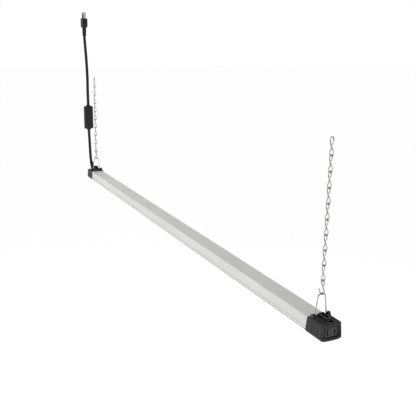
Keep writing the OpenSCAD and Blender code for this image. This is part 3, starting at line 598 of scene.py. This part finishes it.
# %% Finishes of the inner pieces
INNER_FINISHES = {  # dark tone, light tone, roughness, size of the patches
    "black_wire": ((26, 26, 27), (38, 38, 38), (0.35, 0.45), 40),
    "white_wire": ((214, 214, 208), (230, 230, 225), (0.35, 0.45), 40),
    "board_white": ((226, 228, 226), (238, 240, 238), (0.3, 0.4), 40),
    "led_phosphor": ((226, 190, 72), (240, 210, 96), (0.3, 0.45), 500),
    "board_green": ((26, 78, 48), (38, 98, 62), (0.3, 0.4), 120),
    "coil_tape": ((206, 172, 58), (224, 192, 82), (0.3, 0.4), 40),
    "capacitor_sleeve": ((32, 38, 62), (44, 50, 78), (0.25, 0.35), 40),
    "block_plastic": ((208, 206, 194), (222, 220, 210), (0.4, 0.5), 40),
}
for slot, (dark, light, roughness, patch) in INNER_FINISHES.items():
    finishes[slot] = finish(slot, screen(*dark), screen(*light), patch=patch, roughness=roughness)
print("finishes:", len(finishes))

# %% Give each solid its finish
# A solid comes with the name of its material slot, so that name finds the finish. The plug's
# blades are brass under a nickel plate.
for node in nodes.values():
    for material_slot in node.material_slots:
        material_slot.material = finishes[material_slot.material.name]
for cord in (lower_cord, upper_cord):
    cord.data.materials.append(finishes["cord_jacket"])
for blade in ("plug_live_blade", "plug_neutral_blade"):
    nodes[blade].material_slots[0].material = finishes["nickel"]
print("finished solids:", len(nodes))

# %% [markdown]
# ## The chain links
# A jack chain link is one piece of wire bent to a figure eight. Its upper loop lies across its
# lower one, and its two free ends lie beside the waist. Eighteen links could be copied by hand,
# but a link follows a rule and repeats all down a chain, so Geometry Nodes make it: a line of
# points is bent to the figure eight, becomes wire, and is set on a row of points. The same tree
# makes the two top links, which have a larger loop, and the rows that hang below. Each body gets
# a mesh of its own, because it moves by itself.

# %% Where the links are
LINK_PITCH = 0.02285
WIRE = 0.0018
WIRE_PLAY = 0.0002
HALF_LINK = (LINK_PITCH + WIRE + WIRE_PLAY) / 2
LINK_WIDTH = 0.0088
TOP_LOOP_HEIGHT = 0.01425
TOP_LOOP_WIDTH = 0.0104
HANGER_X = 0.557


def waist(side, number):
    """The middle of a link's waist. Links are numbered from the top, from 1."""
    return (side * HANGER_X, 0, WIRE / 2 - TOP_LOOP_HEIGHT - (number - 1) * LINK_PITCH)


print("waists from", round(waist(1, 1)[2], 5), "to", round(waist(1, 9)[2], 5), "m")

# %% The tree and its inputs
links_tree = bpy.data.node_groups.new("jack chain links", "GeometryNodeTree")
LINK_INPUTS = {
    "Count": ("Int", 7),
    "Start": ("Vector", (0, 0, 0)),
    "Step": ("Vector", (0, 0, -LINK_PITCH)),
    "Wire": ("Float", WIRE),
    "Upper Height": ("Float", HALF_LINK),
    "Upper Width": ("Float", LINK_WIDTH),
    "Lower Height": ("Float", HALF_LINK),
    "Lower Width": ("Float", LINK_WIDTH),
    "Material": ("Material", None),
}
link_sockets = {}
for name, (kind, value) in LINK_INPUTS.items():
    made = links_tree.interface.new_socket(name, in_out="INPUT", socket_type="NodeSocket" + kind)
    if value is not None:
        made.default_value = value
    link_sockets[name] = made.identifier
links_tree.interface.new_socket("Geometry", in_out="OUTPUT", socket_type="NodeSocketGeometry")
given = links_tree.nodes.new("NodeGroupInput").outputs
make = Nodes(links_tree)
print("inputs:", ", ".join(link_sockets))

# %% The rule of one loop
WIDEST = 0.7698  # the greatest value of sin(a) sin(a / 2)


def loop_rule(turn, height, width):
    """A teardrop loop at an angle from 0 to a full turn: how far sideways, how far up or down, and
    how far beside the waist its free end lies."""
    half = make.math("MULTIPLY", turn, 0.5)
    sine = make.math("SINE", half)
    reach = make.math("DIVIDE", make.math("SUBTRACT", width, given["Wire"]), 2 * WIDEST)
    sideways = make.math("MULTIPLY", make.math("MULTIPLY", make.math("SINE", turn), sine), reach)
    away = make.math("MULTIPLY", make.math("POWER", sine, 2.0), height)
    near = make.math("POWER", make.math("COSINE", half), 2.0)
    return sideways, away, make.math("MULTIPLY", near, given["Wire"])


# %% Bend a line to the figure eight
STATIONS = 81
TWO_TURNS = 4 * math.pi  # each half of the line makes one full turn
line = make.first("GeometryNodeCurvePrimitiveLine")
line = make.first("GeometryNodeResampleCurve", {"Curve": line, "Count": STATIONS})
along = make.node("GeometryNodeSplineParameter").outputs["Factor"]
first_half = make.math("MINIMUM", along, 0.5)
second_half = make.math("SUBTRACT", make.math("MAXIMUM", along, 0.5), 0.5)
upper_turn = make.math("MULTIPLY", first_half, TWO_TURNS)
lower_turn = make.math("MULTIPLY", second_half, TWO_TURNS)
x_upper, z_upper, end_upper = loop_rule(upper_turn, given["Upper Height"], given["Upper Width"])
y_lower, z_lower, end_lower = loop_rule(lower_turn, given["Lower Height"], given["Lower Width"])
past_upper = make.math("GREATER_THAN", upper_turn, math.pi)
past_lower = make.math("GREATER_THAN", lower_turn, math.pi)
y_end = make.math("MULTIPLY", end_upper, make.math("SUBTRACT", past_upper, 1.0))
x_end = make.math("MULTIPLY", end_lower, past_lower)
place = make.first("ShaderNodeCombineXYZ", {
    "X": make.math("ADD", x_upper, x_end),
    "Y": make.math("ADD", y_lower, y_end),
    "Z": make.math("SUBTRACT", z_upper, z_lower),
})
bent = make.first("GeometryNodeSetPosition", {"Geometry": line, "Position": place})
bent = make.first("GeometryNodeCurveSplineType", {"Curve": bent}, spline_type="NURBS")
bent = make.first("GeometryNodeResampleCurve", {"Curve": bent, "Count": STATIONS})
print("points along one link:", STATIONS)

# %% Make it wire, and set the links on their row
WIRE_SIDES = 10
radius = make.math("MULTIPLY", given["Wire"], 0.5)
circle = {"Resolution": WIRE_SIDES, "Radius": radius}
section = make.first("GeometryNodeCurvePrimitiveCircle", circle)
wire = {"Curve": bent, "Profile Curve": section, "Fill Caps": True}
link = make.first("GeometryNodeCurveToMesh", wire)
link = make.first("GeometryNodeSetShadeSmooth", {"Geometry": link})
points = {"Count": given["Count"], "Start Location": given["Start"], "Offset": given["Step"]}
row = make.first("GeometryNodeMeshLine", points)
links = make.first("GeometryNodeInstanceOnPoints", {"Points": row, "Instance": link})
links = make.first("GeometryNodeRealizeInstances", {"Geometry": links})
links = make.first("GeometryNodeSetMaterial", {"Geometry": links, "Material": given["Material"]})
links_tree.links.new(links, links_tree.nodes.new("NodeGroupOutput").inputs[0])
print("nodes in the tree:", len(links_tree.nodes))


# %% Run the tree and keep its mesh
def grown(name, tree, sockets, values):
    """A plain mesh object made by a Geometry Nodes tree, which is given its inputs by name."""
    piece = bpy.data.objects.new(name, bpy.data.meshes.new(name))
    bpy.context.scene.collection.objects.link(piece)
    modifier = piece.modifiers.new("shape", "NODES")
    modifier.node_group = tree
    for key, value in values.items():
        modifier[sockets[key]] = value
    evaluated = piece.evaluated_get(bpy.context.evaluated_depsgraph_get())
    mesh = bpy.data.meshes.new_from_object(evaluated)
    piece.modifiers.clear()
    piece.data = mesh
    return piece


# %% The four rows of links
ACROSS = (2 * HANGER_X, 0, 0)
DOWN = (0, 0, -LINK_PITCH)
LEFT_HANGING = [f"left_link_{i}" for i in range(3, 10)]
RIGHT_HANGING = [f"right_link_{i}" for i in range(3, 10)]
LINK_ROWS = {  # the first one's waist, the step to the next, and the links that the row stands for
    "ceiling_links": (waist(-1, 1), ACROSS, ["left_link_1", "right_link_1"]),
    "swing_links": (waist(-1, 2), ACROSS, ["left_link_2", "right_link_2"]),
    "left_chain": (waist(-1, 3), DOWN, LEFT_HANGING),
    "right_chain": (waist(1, 3), DOWN, RIGHT_HANGING),
}
for body, (start, step, solids) in LINK_ROWS.items():
    top = body == "ceiling_links"
    piece = grown(body + "_wire", links_tree, link_sockets, {
        "Count": len(solids),
        "Start": start,
        "Step": step,
        "Wire": WIRE,
        "Upper Height": TOP_LOOP_HEIGHT if top else HALF_LINK,
        "Upper Width": TOP_LOOP_WIDTH if top else LINK_WIDTH,
        "Lower Height": HALF_LINK,
        "Lower Width": LINK_WIDTH,
        "Material": finishes["chain_wire"],
    })
    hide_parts(*solids)
    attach(piece, body)
    print(piece.name, "faces:", len(piece.data.polygons))

# %% [markdown]
# ## The cord's hood
# Beside the cord, the far end cap carries a small rounded hood over the clamp that grips the cord
# inside. It is a dome with a flange round its foot. It could be a cube under a Subdivision
# Surface, but then its size is hard to hold. A dome follows a rule, so it is made from rings:
# each ring is a rounded rectangle, and the rings shrink on a curve towards the crown.

# %% Rings of the hood
HOOD_PLACE = (-0.5755, 0.0030)
HOOD_HALF = (0.0068, 0.0078)
HOOD_FOOT = -0.2640
HOOD_SHOULDER = -0.2592
HOOD_CROWN = -0.2541
HOOD_SQUARENESS = 3.0
DOME_FULLNESS = 0.7
FLANGE_SPREAD = 1.12
FLANGE_EDGE = -0.2622
FLANGE_TOP = -0.2620
FLANGE_CHAMFER = 0.03
WALL_FOOT = (1.01, FLANGE_TOP)
WALL_START = (1.0, -0.2616)
RING_POINTS = 48
DOME_RINGS = 10


def ring_points(shrink, height):
    """Points on a rounded rectangle round the hood's middle."""
    points = []
    for k in range(RING_POINTS):
        turn = 2 * math.pi * k / RING_POINTS
        circle = (math.cos(turn), math.sin(turn))
        across = [math.copysign(abs(c) ** (2 / HOOD_SQUARENESS), c) for c in circle]
        place = [p + shrink * h * a for p, h, a in zip(HOOD_PLACE, HOOD_HALF, across)]
        points.append([*place, height])
    return points


hood_levels = [  # the ring's share of the hood's width, and its height
    (FLANGE_SPREAD, HOOD_FOOT),
    (FLANGE_SPREAD, FLANGE_EDGE),
    (FLANGE_SPREAD - FLANGE_CHAMFER, FLANGE_TOP),
    WALL_FOOT,
    WALL_START,
]
for k in range(DOME_RINGS):
    climb = math.radians(90 * k / DOME_RINGS)
    dome_height = HOOD_SHOULDER + (HOOD_CROWN - HOOD_SHOULDER) * math.sin(climb)
    hood_levels.append((math.cos(climb) ** DOME_FULLNESS, dome_height))
print("rings of the hood:", len(hood_levels))

# %% Hood
bm = bmesh.new()
rings = [[bm.verts.new(p) for p in ring_points(*level)] for level in hood_levels]
skin(bm, rings)
crown = bm.verts.new((*HOOD_PLACE, HOOD_CROWN))
for k in range(RING_POINTS):
    bm.faces.new((rings[-1][k], rings[-1][(k + 1) % RING_POINTS], crown)).smooth = True
bm.faces.new(rings[0][::-1])
hood = put_in_scene("cord_hood", bm)
hood.data.materials.append(finishes["cap_plastic"])
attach(hood, "light")
hood_height = round((HOOD_CROWN - HOOD_FOOT) * 1000, 1)
print("hood is", hood_height, "mm high, faces:", len(hood.data.polygons))
